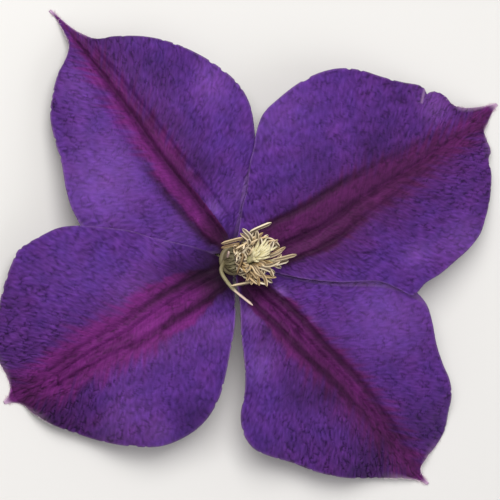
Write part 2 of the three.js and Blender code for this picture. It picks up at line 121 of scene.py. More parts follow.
def smooth_line(points, shares):
    """The places at the given shares of the length of a smooth line through the points: a centripetal
    Catmull-Rom line, each span a cubic whose end slopes come from the square roots of the chord lengths."""
    points = np.array(points, float)
    ends = [2 * points[0] - points[1]], [2 * points[-1] - points[-2]]
    p = np.concatenate([ends[0], points, ends[1]])
    steps = np.sqrt(np.linalg.norm(np.diff(p, axis=0), axis=1))[:, None]
    d0, d1, d2 = steps[:-2], steps[1:-1], steps[2:]
    p0, p1, p2, p3 = p[:-3], p[1:-2], p[2:-1], p[3:]
    slope_1 = d1 * ((p1 - p0) / d0 - (p2 - p0) / (d0 + d1) + (p2 - p1) / d1)
    slope_2 = d1 * ((p2 - p1) / d1 - (p3 - p1) / (d1 + d2) + (p3 - p2) / d2)
    t = np.linspace(0, 1, SAMPLES_PER_SPAN, endpoint=False)[:, None, None]
    spans = (p1 + slope_1 * t + (3 * (p2 - p1) - 2 * slope_1 - slope_2) * t ** 2
             + (2 * (p1 - p2) + slope_1 + slope_2) * t ** 3)
    fine = np.concatenate([spans.transpose(1, 0, 2).reshape(-1, points.shape[1]), points[-1:]])
    run = np.concatenate([[0], np.cumsum(np.linalg.norm(np.diff(fine, axis=0), axis=1))])
    return np.stack([np.interp(np.asarray(shares) * run[-1], run, column) for column in fine.T], axis=-1)


def placed(u, v, z):
    """The place about the flower's axis of what the viewer sees at [u, v] and lies z above the surface:
    u = x cos + (z - CLAW_HEIGHT) sin of the VIEW_TILT, and v = y."""
    return np.stack(np.broadcast_arrays((u - (z - CLAW_HEIGHT) * TILT_SIN) / TILT_COS, v, z), axis=-1)


def mesh_piece(name, places, faces, material, stands_for, marks=None):
    """A smooth-shaded piece from places (n, 3) in mm about the flower's axis and lists of faces, with a
    value at each vertex for every mark. It rides on the flower and stands for the given solid."""
    mesh = bpy.data.meshes.new(name)
    mesh.from_pydata(((places + AXIS) * MM).tolist(), [], faces)
    for mark, values in (marks or {}).items():
        layer = mesh.attributes.new(mark, "FLOAT", "POINT")
        layer.data.foreach_set("value", np.ascontiguousarray(values, np.float32).ravel())
    mesh.materials.append(material)
    mesh.shade_smooth()
    mesh.update()
    piece = bpy.data.objects.new(name, mesh)
    bpy.context.scene.collection.objects.link(piece)
    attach(piece, "root")
    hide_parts(stands_for)


# ---------------------------------------------------------------- materials
def linear(colour):
    """An sRGB hex colour as linear RGBA."""
    channels = [int(colour[k:k + 2], 16) / 255 for k in (1, 3, 5)]
    return [c / 12.92 if c <= 0.04045 else ((c + 0.055) / 1.055) ** 2.4 for c in channels] + [1]


def node(tree, kind, settings=None, **inputs):
    """Adds a node with its settings and inputs. An input goes by its name or, as _0, _1 and so on, by its
    number, and is given as a plain value, a socket to link, an sRGB hex colour or the name of a mark."""
    made = tree.nodes.new(kind)
    for key, value in (settings or {}).items():
        setattr(made, key, value)
    for key, value in inputs.items():
        socket = made.inputs[int(key[1:]) if key[1:].isdigit() else key.replace("_", " ")]
        if isinstance(value, str) and value.startswith("#"):
            value = linear(value)
        elif isinstance(value, str):
            value = node(tree, "ShaderNodeAttribute", {"attribute_name": value}).outputs["Fac"]
        if isinstance(value, bpy.types.NodeSocket):
            tree.links.new(value, socket)
        else:
            socket.default_value = value
    return made


def new_material(name):
    """A material and its empty node tree."""
    material = bpy.data.materials.new(name)
    material.use_nodes = True
    material.node_tree.nodes.clear()
    return material, material.node_tree


def surfaced(material, **inputs):
    """The material, with a Principled shader of the given inputs as its surface."""
    shader = node(material.node_tree, "ShaderNodeBsdfPrincipled", None, **inputs)
    node(material.node_tree, "ShaderNodeOutputMaterial", None, Surface=shader.outputs[0])
    return material


def coats(tree, colour, *layers):
    """A colour with others laid over it in turn, each by its share of 0..1. A Mix node takes the share at
    its socket 0 and the two colours at 6 and 7, and gives the result at 2."""
    for share, coat in layers:
        mix = node(tree, "ShaderNodeMix", {"data_type": "RGBA"}, _0=share, _6=colour, _7=coat)
        colour = mix.outputs[2]
    return colour


def mottle(tree, scale_mm, detail=2.0):
    """Noise with features of the given size in mm, in Object coordinates."""
    place = node(tree, "ShaderNodeTexCoord").outputs["Object"]
    scale = 1 / (scale_mm * MM)
    return node(tree, "ShaderNodeTexNoise", None, Vector=place, Scale=scale, Detail=detail).outputs["Fac"]


STREAK = 0.5, 1.7, 1  # width and length of the streaks in a sepal's skin; the third size isn't used


def vein_streaks(tree):
    """Fine noise drawn out along the side veins, in streaks of the size STREAK."""
    place = node(tree, "ShaderNodeCombineXYZ", None, X="over_veins", Y="on_vein").outputs[0]
    drawn = node(tree, "ShaderNodeVectorMath", {"operation": "DIVIDE"}, _0=place, _1=STREAK).outputs[0]
    return node(tree, "ShaderNodeTexNoise", None, Vector=drawn, Scale=1.0, Detail=2.0).outputs["Fac"]


def velvety_sepal():
    """Living petal-like sepal tissue, dyed by its sap. Its skin is a turf of tiny cones, which gives the
    face a soft velvety look and no sharp gloss. Its veins lie in grooves, and its back is pale and silky.
    The face's brightness is multiplied by the mark light, patches of painted light and painted shade, by
    the mark relief, painted shade in the wrinkles' valleys and painted light on their crests, and by fine
    streaks.
    Over it lie a pale painted sheen on the lit patches and a painted shade round the middle, and the dark
    lines in the grooves are their own dark colour deepened by painted shade."""
    material, tree = new_material("velvety sepal tissue")
    bar = coats(tree, "#441840", ("glow", "#601e62"))
    # the furrow colour is the grooves' own dark colour deepened by painted shade
    face = coats(tree, "#442877", (mottle(tree, 5), "#562974"), ("wine", "#4a1d55"), ("bar", bar),
                 ("furrow", "#2c0f2a"))
    streak = vein_streaks(tree)
    # the marks light and relief paint light and shade into the colour: lit and shaded patches, and dark
    # wrinkle valleys with light crests; the streaks are a fine grain
    for brightness in (
        dict(Value="light", To_Min=0.3, To_Max=1.7),
        dict(Value="relief", To_Min=0.45, To_Max=1.55),
        dict(Value=streak, From_Min=0.3, From_Max=0.7, To_Min=0.82, To_Max=1.18),
    ):
        times = node(tree, "ShaderNodeMapRange", None, **brightness).outputs[0]
        face = node(tree, "ShaderNodeVectorMath", {"operation": "SCALE"}, _0=face, Scale=times).outputs[0]
    # painted light: a pale lilac sheen over the lit patches; painted shade: near black round the middle, in
    # the hollow under the brush
    face = coats(tree, face, ("painted_sheen", "#a878c0"), ("edge", "#c6a6c2"), ("throat_shade", "#1f0d1f"))
    back = coats(tree, "#8d6c9d", ("rib", "#5a2b52"))
    bump = node(tree, "ShaderNodeBump", None, Strength=0.6, Distance=0.25 * MM, Height=streak)
    return surfaced(material, Base_Color=coats(tree, face, ("back", back)), Normal=bump.outputs[0],
                    Roughness=0.62, IOR=1.42, Specular_IOR_Level=0.12, Sheen_Weight=0.05,
                    Sheen_Roughness=0.5, Sheen_Tint="#a98ad6")


def dry_stamen():
    """Filaments and ripe anthers: dull, papery plant tissue, cream on the pollen sacs and olive below."""
    material, tree = new_material("papery stamen tissue")
    filament = coats(tree, "#7d7756", (mottle(tree, 0.8), "#b2aa82"), ("root", "#7b7052"))
    anther = coats(tree, "#c5a46f", ("tone", "#f8eacb"))
    colour = coats(tree, filament, ("anther", anther), ("furrow", "#3d2410"), ("blush", "#e3c6b8"))
    grain = mottle(tree, 0.25, 3)
    bump = node(tree, "ShaderNodeBump", None, Strength=0.4, Distance=0.06 * MM, Height=grain)
    return surfaced(material, Base_Color=colour, Normal=bump.outputs[0], Roughness=0.6)


def silky_pistil():
    """A tuft of styles covered with silky hairs that lie along them: pale yellow-green with a fine streaky
    shine."""
    material, tree = new_material("silky styles")
    colour = coats(tree, "#a9a357", ("tip", "#e3d8b2"), (mottle(tree, 0.5), "#cfc592"))
    return surfaced(material, Base_Color=colour, Roughness=0.5, Sheen_Weight=0.4)


def green_stalk():
    """A young climbing stalk: ribbed green skin, flushed brown-purple on its ribs, with a pale cut end."""
    material, tree = new_material("ribbed green stalk skin")
    colour = coats(tree, "#6f7a45", ("rib", "#5b4038"), (mottle(tree, 1.2), "#7d6f4a"), ("cut", "#b9b98a"))
    grain = mottle(tree, 0.3, 3)
    bump = node(tree, "ShaderNodeBump", None, Strength=0.4, Distance=0.08 * MM, Height=grain)
    return surfaced(material, Base_Color=colour, Normal=bump.outputs[0], Roughness=0.55)


def white_down():
    """Short silky hairs, almost white, with a soft shine."""
    return surfaced(new_material("silky down")[0], Base_Color="#e6d6dc", Roughness=0.45)


# ---------------------------------------------------------------- sepals
# All places are [u, v]. The values of a sepal are:
# - node: the solid that it stands for; seed: of its noise
# - droop: it droops from the first distance from the flower's axis to the second
# - throat_shade: how far out the painted shade round its middle reaches; midrib: the middle groove, from
#   claw to tip
# - furrow_until: the share of its length at which the dark line in the midrib, its dark colour with painted
#   shade, ends
# - tear: the ends of a short tear in from a margin
# left and right are its sides as seen when looking outwards from the middle. The values of a side are:
# - seam: the direction of the joint with the neighbour
# - over: 1 where its margin lies over the neighbour's and -1 where it lies under, as far as the share until
# - waves: the ripples of its margin: their height, count, the share that they start from, and their phase
# - groove: how far the side groove lies from the midrib at its widest; groove_until: as furrow_until
# - bar: how far out the dark bar reaches; bar_from: the share where it begins
# - glow: how strongly the bar's ridges glow magenta; haze: how far its colour drifts out of it
# - wine: how much the sepal reddens towards its tip
# - painted_shading: patches of painted light (+) or painted shade (-): share of the length, mm out, radius
#   in mm, and strength
# - margin: its outline, from claw to tip
SEPALS = {
    "upper_left_sepal": dict(
        node="sepal_upper_left", droop=(24, 67.5), throat_shade=6.5, furrow_until=0.97, seed=11,
        midrib=[(-2, 5), (-7, 12), (-15, 22), (-22, 32), (-29.3, 41.8), (-34.4, 48.2), (-37, 51.5),
                (-40.2, 55.2)],
        left=dict(
            seam=156, over=-1, until=0.45, waves=(0.9, 4, 0.5, 0.1),
            groove=4.3, groove_until=0.45, bar=3.9, bar_from=0, glow=1, haze=0.15, wine=0.3,
            painted_shading=[(0.15, 9, 6, 0.12), (0.45, 13, 9, 0.2), (0.75, 6, 6, 0.08), (0.15, 2, 1.2, 0.4)],
            margin=[(-4.2, 1.8), (-7.5, 1.9), (-11.5, 1.7), (-18, 2.5), (-25, 3.5), (-30.5, 5.5),
                    (-34.5, 10), (-36.3, 15), (-37.5, 21.5), (-39, 26.5), (-40, 31.5), (-39.5, 36.5),
                    (-38.2, 41.5), (-36.5, 45), (-36, 47.5), (-37, 50), (-39, 53.5)]),
        right=dict(
            seam=80, over=-1, until=0.32, waves=(0.8, 4, 0.4, 0.6),
            groove=3.6, groove_until=0.05, bar=3.9, bar_from=0.15, glow=0.45, haze=0.6, wine=0.25,
            painted_shading=[(0.3, 6.5, 3.5, -0.25), (0.45, 6.5, 3.5, -0.12), (0.6, 11, 5, -0.28), (0.8, 6, 6, -0.2),
                    (0.15, 10, 4, 0.15), (0.5, 18, 5, 0.15), (0.15, 2, 2, 0.3), (0.3, 3.2, 1.3, 0.25),
                    (0.8, 2, 2, 0.1)],
            margin=[(0.8, 6.5), (2, 12), (2.5, 15.5), (3.2, 18.5), (4.3, 21.5), (5.2, 25), (5, 29),
                    (4, 34.5), (1.5, 39), (-3, 43), (-8, 46), (-13.5, 48.3), (-19.5, 49.6), (-26, 49.6),
                    (-30, 49), (-34, 50.5), (-38, 53.5)])),
    "upper_right_sepal": dict(
        node="sepal_upper_right", droop=(24, 71), throat_shade=5, furrow_until=0.65, seed=23,
        tear=[(43.4, 38.6), (42.6, 35.4)],
        midrib=[(6, 1), (12, 3.7), (20, 7.5), (28.5, 13.5), (38.5, 19.5), (46, 24.5), (52.5, 28.8),
                (57, 32.2), (60, 35.3)],
        left=dict(
            seam=80, over=1, until=0.32, waves=(1, 4.5, 0.42, 0.2),
            groove=5.8, groove_until=0.6, bar=6.6, bar_from=0, glow=0.3, haze=0.45, wine=0.5,
            painted_shading=[(0.35, 12, 7, -0.15), (0.58, 9, 6, -0.28), (0.8, 9, 4, 0.2), (0.35, 26, 7, 0.1)],
            margin=[(1.5, 6.5), (2.3, 12), (3.2, 15), (3.6, 18), (4, 21.5), (4.9, 25), (5.5, 28.5),
                    (7, 32.5), (10.5, 36), (15, 39.5), (19.5, 41.8), (24, 42.9), (28.5, 42.6), (33.5, 41.1),
                    (38, 40), (42.5, 39.2), (43.4, 38.4), (43.2, 37.2), (44, 37.6), (46, 38), (48, 37),
                    (49.5, 35.2), (52, 34.4), (56, 34.6)]),
        right=dict(
            seam=-14, over=1, until=0.68, waves=(1, 4, 0.7, 0),
            groove=4.2, groove_until=0.5, bar=5.2, bar_from=0, glow=0.15, haze=0.7, wine=0.55,
            painted_shading=[(0.3, 4, 4, -0.1), (0.55, 8, 6, -0.1), (0.62, 20, 5, 0.15), (0.5, 17, 3, 0.15)],
            margin=[(4.5, -1.1), (8, -2.3), (15, -4), (23, -4.9), (33.5, -5), (37.5, -6.6), (40.5, -7.9),
                    (43.5, -5.1), (46.5, -3.3), (50.5, 0), (53.5, 2.7), (56, 6), (57.2, 9.5), (58.2, 13.5),
                    (58.6, 19.5), (58, 22.7), (58.5, 24.5), (57.5, 27.5), (57, 29), (57.9, 31),
                    (59, 33.5)])),
    "lower_right_sepal": dict(
        node="sepal_lower_right", droop=(24, 67), throat_shade=4.5, furrow_until=0.25, seed=37,
        midrib=[(1.8, -3.3), (5, -6.5), (12, -13), (18.5, -20), (25, -26.5), (32, -35), (37.8, -43),
                (41.2, -47.9), (44.2, -50.6)],
        left=dict(
            seam=-14, over=-1, until=0.55, waves=(0.9, 4, 0.5, 0.4),
            groove=2.5, groove_until=0.75, bar=4.2, bar_from=0, glow=0.55, haze=0.3, wine=0.35,
            painted_shading=[(0.45, 17, 8, 0.16), (0.82, 5, 9, -0.2), (0.15, 3.2, 1.6, 0.5), (0.3, 3, 1.5, 0.2),
                    (0.3, 0, 1, -0.4)],
            margin=[(4.5, -1.8), (8, -2.7), (15, -4.4), (23, -5.6), (33.5, -5.9), (38.5, -7.2),
                    (42.5, -9.3), (44, -11), (45, -14), (46, -19), (47.5, -23.5), (49, -27), (49.5, -30.5),
                    (48.7, -35), (48, -38.5), (46, -42), (44, -44.5), (42.5, -47), (43, -48.7)]),
        right=dict(
            seam=-82, over=0, until=0, waves=(1, 4, 0.25, 0.3),
            groove=2.5, groove_until=0.75, bar=5, bar_from=0, glow=0.5, haze=0.6, wine=0.6,
            painted_shading=[(0.15, 4.5, 3, 0.2), (0.3, 12, 4.5, 0.15), (0.47, 10, 5, -0.25), (0.82, 7, 9, -0.25),
                    (0.15, 0.5, 1, 0.5), (0.53, 5.5, 2.5, -0.25), (0.3, 0, 1, -0.4), (0.3, 2.2, 1.2, 0.3)],
            margin=[(1.3, -6.5), (1.8, -10), (2.1, -16.5), (2.9, -24), (2.9, -29), (2, -34), (2.1, -36.5),
                    (3, -39.5), (5, -42), (8.2, -43.6), (13.5, -45.3), (19, -47.4), (26, -48.9),
                    (35, -49.1), (40, -49.4), (42.5, -50)])),
    "lower_left_sepal": dict(
        node="sepal_lower_left", droop=(28, 59.5), throat_shade=9, furrow_until=0.25, seed=53,
        midrib=[(-2.5, -3), (-7, -5.7), (-15, -10.3), (-22.5, -15.5), (-30.5, -20), (-38, -25),
                (-44.5, -28.8), (-47.7, -30.2), (-50.2, -31.5)],
        left=dict(
            seam=-82, over=0, until=0, waves=(1, 4, 0.25, 0.8),
            groove=3.8, groove_until=0.5, bar=6.9, bar_from=0, glow=1, haze=0.35, wine=0.7,
            painted_shading=[(0.36, 1, 7, 0.15), (0.8, 1, 4, 0.12), (0.17, 11, 5, 0.1), (0.1, 6, 3, -0.2),
                    (0.65, 16, 7, 0.15), (0.85, 7, 9, -0.32), (0.43, 24, 4, -0.3), (0.53, 23, 3, 0.15)],
            margin=[(0.5, -6.5), (0.8, -10.5), (0.5, -15.5), (-0.5, -21), (-1.5, -26), (-3, -31),
                    (-6, -35.8), (-10, -39), (-15.5, -41.2), (-22.5, -41.2), (-28.5, -40.2), (-34, -38.5),
                    (-39.5, -36.4), (-44, -33.8), (-46.2, -32), (-48.2, -31.5)]),
        right=dict(
            seam=156, over=1, until=0.45, waves=(1, 4.5, 0.5, 0.5),
            groove=2.3, groove_until=0.5, bar=6, bar_from=0, glow=1, haze=0.5, wine=0.5,
            painted_shading=[(0.36, 3, 7, 0.15), (0.8, 2, 4, 0.15), (0.17, 12, 4, 0.1), (0.1, 3.5, 4, -0.35),
                    (0.17, 6, 2.8, -0.35), (0.85, 4, 9, -0.12)],
            margin=[(-4.2, 1.3), (-6.5, 2.3), (-9.5, 3.2), (-13, 4), (-18, 5.1), (-22, 6.4), (-27, 7.1),
                    (-33.5, 7.6), (-38, 7.1), (-42.5, 5), (-46.8, 2.4), (-48.5, -1), (-50, -5),
                    (-51.2, -9.5), (-52, -14.5), (-52, -19), (-51.3, -22.5), (-49.9, -25.2), (-49, -27.8),
                    (-49.3, -29.8)])),
}
NET = 0.95, 1.8  # the meshes of the vein net, across and along the side veins
BAR_NET = 0.95, 2.6  # and across and along the bar
CRINKLE = 0.25  # height of the wrinkles
FOLD = 0.35  # height of the wide soft folds
SWEEP_AT_CLAW = 0.25  # a side vein runs this much towards the tip for each mm that it runs out
SWEEP_GAIN = 1.25  # and this much more where it starts at the tip
UNDERLAP = 2.4  # how far a margin reaches beneath its neighbour
UPTURN = 0.9  # and how far it turns up there, so that no light passes between the two
TUCK_SHORTER = 0.17  # share of a sepal's length by which it is tucked less far than it is lapped
NICK = 0.3, 0.9  # depth and length of the small nicks in a margin
# the dark lines in the grooves: their own dark colour deepened by painted shade
DARK_MIDRIB = 0.62  # how dark the lines in the grooves are
DARK_GROOVE = 0.85
ALWAYS_BAR = 1.2  # the bar covers the midrib this far out, also before it begins
TIP_HAIRS = 150
TIP_DOWN_REACH = 0.13  # share of a sepal's length that bears them, back from the tip
HAIR_RADIUS = 0.05
HAIR_STATIONS = 5
HAIR_SIDES = 3


def claw_point(degrees):
    """A place on the ring of claws, in the viewer's millimetres."""
    turn = math.radians(degrees)
    return (CLAW_RADIUS * math.cos(turn) * TILT_COS, CLAW_RADIUS * math.sin(turn))


def sepal_lines(sepal, shares):
    """The midrib and both margins of a sepal at the given shares of their lengths, from claw to tip."""
    left, right, midrib = sepal["left"], sepal["right"], sepal["midrib"]
    tip, before = np.array(midrib[-1]), np.array(midrib[-2])
    forward = (tip - before) / np.linalg.norm(tip - before)
    aside = TIP_HALF_WIDTH * np.array([-forward[1], forward[0]])
    middle = (left["seam"] + right["seam"] + (360 if left["seam"] < right["seam"] else 0)) / 2
    return (
        smooth_line([claw_point(middle), *midrib], shares),
        smooth_line([claw_point(left["seam"] - CLAW_GAP), *left["margin"], tip + aside], shares),
        smooth_line([claw_point(right["seam"] + CLAW_GAP), *right["margin"], tip - aside], shares),
    )


def sepal_grid(sepal):
    """The grid of a sepal, with a row for each share of its length and columns from the left margin to the
    right one. off and run are mm off and along the midrib, half is the sepal's half width, out the share of
    it, and radius the distance from the flower's axis. lap is 1 along the joint with a neighbour, and tuck
    is 1 where the margin lies under it. A number times right keeps the noise of the two sides apart."""
    sides = sepal["left"], sepal["right"]
    grid = SimpleNamespace()
    grid.share = np.linspace(0, 1, SEPAL_ROWS)[:, None]
    across = np.linspace(-1, 1, SEPAL_COLUMNS)[None, :]
    midrib, *margins = sepal_lines(sepal, grid.share[:, 0])
    grid.right = across > 0
    grid.out = np.abs(across)

    def joint(line, until):
        """1 along a margin from outside the claws to the share until, with soft ends."""
        radius = np.hypot(line[:, :1] / TILT_COS, line[:, 1:])
        return ramp(radius, 3.4, 5.4) * (1 - ramp(grid.share, until, until + 0.15))

    def of_side(left, right):
        """At each place the value of its own side."""
        return np.where(grid.right, right, left)

    def patchy(long, wide, use):
        """Noise in patches, long by wide mm, which differs with the number of the use."""
        return swells(grid.run / long, grid.off / wide + 5 * grid.right, sepal["seed"] + use)

    grid.of_side = of_side
    grid.each = lambda key: of_side(sides[0][key], sides[1][key])
    grid.patchy = patchy
    lapped = [joint(line, side["until"]) for side, line in zip(sides, margins)]
    tucked = [joint(line, side["until"] - TUCK_SHORTER) for side, line in zip(sides, margins)]
    over = grid.each("over")
    grid.lap = np.abs(over) * of_side(*lapped)
    grid.tuck = (over < 0) * of_side(*tucked)
    reaches = [line - midrib for line in margins]
    halves = [np.linalg.norm(reach, axis=1)[:, None] for reach in reaches]
    grid.half = of_side(*halves)
    ways = [(reach / half)[:, None] for reach, half in zip(reaches, halves)]
    grid.run = np.concatenate([[0], np.cumsum(np.linalg.norm(np.diff(midrib, axis=0), axis=1))])[:, None]
    nick = NICK[0] * ramp(swells(grid.run / NICK[1] + 40 * grid.right, 0.5, sepal["seed"]), 0.2, 0.7)
    nick = nick * (1 - grid.lap) * np.minimum(1, grid.half / 4) * grid.out ** 9
    grid.off = grid.out * (grid.half + UNDERLAP * grid.tuck - nick)
    grid.flat = midrib[:, None] + np.where(grid.right[..., None], ways[1], ways[0]) * grid.off[..., None]
    grid.radius = np.hypot(grid.flat[..., 0] / TILT_COS, grid.flat[..., 1])
    grid.room = np.minimum(1, grid.half / ROOM_FOR_RELIEF)
    find_veins(grid, midrib)
    return grid


def find_veins(grid, midrib):
    """Adds over_veins and on_vein to the grid, mm across and along the side veins. These are straight and
    fan out: one that starts at the share s of the sepal's length runs SWEEP_AT_CLAW + SWEEP_GAIN s towards
    the tip for each mm out."""
    length = np.linalg.norm(midrib[-1] - midrib[0])
    ahead = (midrib[-1] - midrib[0]) / length
    along = (grid.flat - midrib[0]) @ ahead
    aside = np.abs((grid.flat - midrib[:, None]) @ np.array([-ahead[1], ahead[0]]))
    start = (along - SWEEP_AT_CLAW * aside) / (1 + SWEEP_GAIN * aside / length)
    sweep = SWEEP_AT_CLAW + SWEEP_GAIN * np.clip(start / length, 0, 1)
    grid.over_veins = start + 60 * grid.right
    grid.on_vein = aside * np.hypot(1, sweep)


def side_relief(side, grid):
    """The form of one side of a sepal above the dome: a puff half way out, a margin that rolls down and is
    waved, and a lift or a dip where it overlaps."""
    height, count, start, phase = side["waves"]
    body = np.sin(np.pi * grid.share) * grid.room
    relief = PUFF * body * np.sin(np.pi * grid.out) * (1 - grid.lap * ramp(grid.out, 0.3, 0.75))
    relief = relief - ROLL * body * grid.out ** 4 * (1 - grid.lap)
    relief = relief + OVERLAP * side["over"] * grid.lap * ramp(grid.out, 0.2, 0.6)
    relief = relief + UPTURN * grid.tuck * ramp(grid.out, 0.88, 1)
    wave = np.sin(2 * np.pi * (count * grid.share + phase))
    return relief + height * grid.room * ramp(grid.share, start, start + 0.2) * grid.out ** 2 * wave


def crinkles(over, on, wide, long, seed):
    """The crinkled net of small veins, over and on being mm across and along them: the borders of scattered
    cells, wide by long, are thin valleys, and the skin between them swells in soft noise half their size.
    Returns the height, about -1..1."""
    bent = over + 0.5 * swells(on / 3, over / 3, seed)
    valley = ramp(cells(bent / wide + 0.3 * swells(on, over, seed + 1), on / long, seed + 2), 0.28, 0)
    broken = ramp(swells(bent / 1.7, on / 2.3, seed + 4), -0.5, 0.4)
    swelling = swells(2 * bent / wide, 1.2 * on / long, seed + 3)
    return 0.15 + 0.6 * swelling - 0.95 * valley * broken


def find_bar(sepal, grid):
    """Adds the grooves and the dark bar to the grid. The side groove lies groove mm off the midrib, and
    at_midrib and at_groove are bells across the grooves, exp(-(d / GROOVE_WIDTH)2) at the distance d.
    in_bar is 1 in the bar, which reaches reach mm out, to a border that is frayed by feather, noise drawn
    out along the side veins, and bent by drift, noise in wide patches."""
    widest = grid.each("groove")
    groove = GROOVE_AT_CLAW + (widest - GROOVE_AT_CLAW) * np.sin(np.pi * np.sqrt(grid.share))
    grid.groove = np.minimum(groove, 0.55 * grid.half)
    grid.at_midrib = np.exp(-(grid.off / GROOVE_WIDTH) ** 2)
    grid.at_groove = np.exp(-((grid.off - grid.groove) / GROOVE_WIDTH) ** 2)
    grid.feather = swells(grid.over_veins / 1.1, grid.on_vein / 7, sepal["seed"] + 5)
    grid.drift = grid.patchy(6, 3, 13)
    beyond = (grid.each("bar") - widest) * ramp(grid.share, 0, 0.3)
    grid.reach = grid.groove + beyond + 0.5 * grid.drift
    spread = 0.5 + 1.9 * ramp(grid.share, 0.15, 0.6)
    in_bar = 1 - ramp(grid.off + spread * grid.feather, grid.reach - spread, grid.reach + spread)
    begins = grid.each("bar_from")
    begun = ramp(grid.share, begins - 0.02, begins + 0.2 * (begins > 0))
    grid.in_bar = in_bar * np.where(grid.off < ALWAYS_BAR, 1, begun)


def find_skin(sepal, grid):
    """Adds the skin to the grid: height, that of its wrinkles, about -1..1, which are crinkles along the
    side veins and, in the bar, lengthwise ones, and wine, how red it is: redder towards the tip and in
    scattered patches."""
    seed = sepal["seed"]
    grid.lengthwise = crinkles(grid.off + 30 * grid.right, grid.run + 0 * grid.off, *BAR_NET, seed + 20)
    net = crinkles(grid.over_veins, grid.on_vein, *NET, seed)
    grid.height = net * (1 - grid.in_bar) + 0.6 * grid.lengthwise * grid.in_bar
    tipward = ramp(grid.share + 0.1 * grid.drift + 0.05 * grid.feather, 0.4, 0.95)
    scattered = ramp(grid.patchy(7, 5, 17) + 0.2 * grid.feather, 0.1, 0.9)
    grid.wine = grid.each("wine") * tipward + 0.16 * scattered


def face_height(sepal, grid):
    """The height of a sepal's face. Out from the axis it climbs by half a cosine wave and droops with the
    square of the way through the droop. side_relief, three grooves, wrinkles and wide folds are added."""
    start, end = sepal["droop"]
    climb = np.clip((grid.radius - DOME_FROM) / (DOME_CROWN - DOME_FROM), 0, 1)
    z = CLAW_HEIGHT + DOME_RISE * (1 - np.cos(np.pi * climb)) / 2
    z = z - SEPAL_DROOP * (np.maximum(0, grid.radius - start) / (end - start)) ** 2
    z = z + grid.of_side(side_relief(sepal["left"], grid), side_relief(sepal["right"], grid))
    fade = ramp(grid.radius, 3, 7) * (1 - ramp(grid.share, 0.75, 1))
    z = z - GROOVE_DEPTH * grid.room * fade * (grid.at_midrib + grid.at_groove)
    crinkled = 0.85 + 0.6 * grid.patchy(12, 9, 9) + 1.1 * grid.wine
    z = z + CRINKLE * grid.room * ramp(grid.radius, 4, 9) * crinkled * grid.height
    folded = ramp(grid.radius, 6, 16) * ramp(grid.off, 2, 7) * (1 - grid.lap)
    return z + FOLD * grid.room * folded * grid.patchy(11, 8, 11)


def off_line(flat, start, end):
    """How many mm each place of the grid is from the straight line between two places."""
    way = np.subtract(end, start)
    share = np.clip((flat - start) @ way / (way @ way), 0, 1)
    return np.linalg.norm(flat - start - share[..., None] * way, axis=-1)


def shaded(sepal, grid):
    """The sum of a sepal's patches of painted light and painted shade, bells strength exp(-(d / radius)2)
    at the distance d from the middle of each."""
    total = 0
    for side, here in ((sepal["left"], ~grid.right), (sepal["right"], grid.right)):
        for share, out, radius, strength in side["painted_shading"]:
            away = (grid.run - share * grid.run[-1]) ** 2 + (grid.off - out) ** 2
            total = total + here * strength * np.exp(-away / radius ** 2)
    return total


def sepal_marks(sepal, grid):
    """The marks that a sepal's material reads: the bar and its glow, the dark lines in the grooves, their
    dark colour deepened by painted shade (furrow), painted shade in the wrinkles' valleys and painted light
    on their crests (relief), a pale painted sheen on the lit patches (painted_sheen) and patches of painted
    light and shade (light), its reddening (wine), the pale edge, tip and tear (edge), the painted shade
    round the middle (throat_shade) and the ribs at the back (rib)."""
    ragged = grid.share + 0.06 * grid.lengthwise

    def dark_line(strength, away, wide, until, fading):
        """A bell across a groove, which fades out towards the share until."""
        return strength * np.exp(-(away / wide) ** 2) * (1 - ramp(ragged, until - fading, until + 0.1))

    dark = dark_line(DARK_MIDRIB, grid.off, 1.1 - 0.5 * grid.share, sepal["furrow_until"], 0.3)
    dark = dark + dark_line(DARK_GROOVE, grid.off - grid.groove, 0.95, grid.each("groove_until"), 0.25)
    begins = grid.each("bar_from")
    haze = grid.each("haze") * ramp(grid.share, begins - 0.02, begins + 0.25)
    haze = haze * (1 - ramp(grid.off + 2 * grid.feather, grid.reach, grid.reach + 9))
    glow = grid.each("glow") * (1 - 0.5 * ramp(grid.share, 0.6, 1)) * ramp(grid.radius, 6, 15)
    glow = glow + 0.25 * ramp(grid.share, 0.65, 0.85)
    edge = 0.16 * ramp(grid.half - grid.off, 0.45, 0.1) * (1 - 0.5 * grid.lap)
    edge = edge + 0.3 * ramp(grid.share, 0.84, 0.93) * ramp(grid.out, 0.6, 0.95)
    edge = edge + 0.75 * ramp(grid.share, 0.97, 1)
    if "tear" in sepal:
        edge = edge + 0.4 * np.exp(-(off_line(grid.flat, *sepal["tear"]) / 0.22) ** 2)
    patches = shaded(sepal, grid)
    # painted shade round the middle, in the hollow that the brush of stamens overhangs
    throat_shade = ramp(grid.radius + 0.6 * grid.drift, 0.4 * sepal["throat_shade"], 1.3 * sepal["throat_shade"])
    return dict(
        bar=grid.in_bar,
        glow=np.clip(glow * (1 + 0.35 * grid.drift + 0.25 * grid.lengthwise), 0, 1),
        # the grooves' dark colour, deepened by painted shade
        furrow=np.clip(dark, 0, 1) * ramp(grid.radius, 3, 7),
        # painted shade in the wrinkles' valleys and painted light on their crests
        relief=np.clip(0.5 + 0.45 * grid.height * (0.9 + 1.8 * grid.wine), 0, 1),
        # a pale lilac painted sheen on the patches of painted light
        painted_sheen=0.6 * np.clip(patches, 0, 1) * (1 - grid.in_bar),
        # patches of painted light and painted shade, with a little random tone from drift
        light=np.clip(0.5 + patches + 0.12 * grid.drift, 0, 1),
        wine=np.clip(np.maximum(haze, grid.wine), 0, 1),
        edge=edge,
        throat_shade=0.9 * (1 - throat_shade),
        rib=0.9 * np.clip(grid.at_midrib + grid.at_groove, 0, 1),
        over_veins=grid.over_veins,
        on_vein=grid.on_vein,
    )


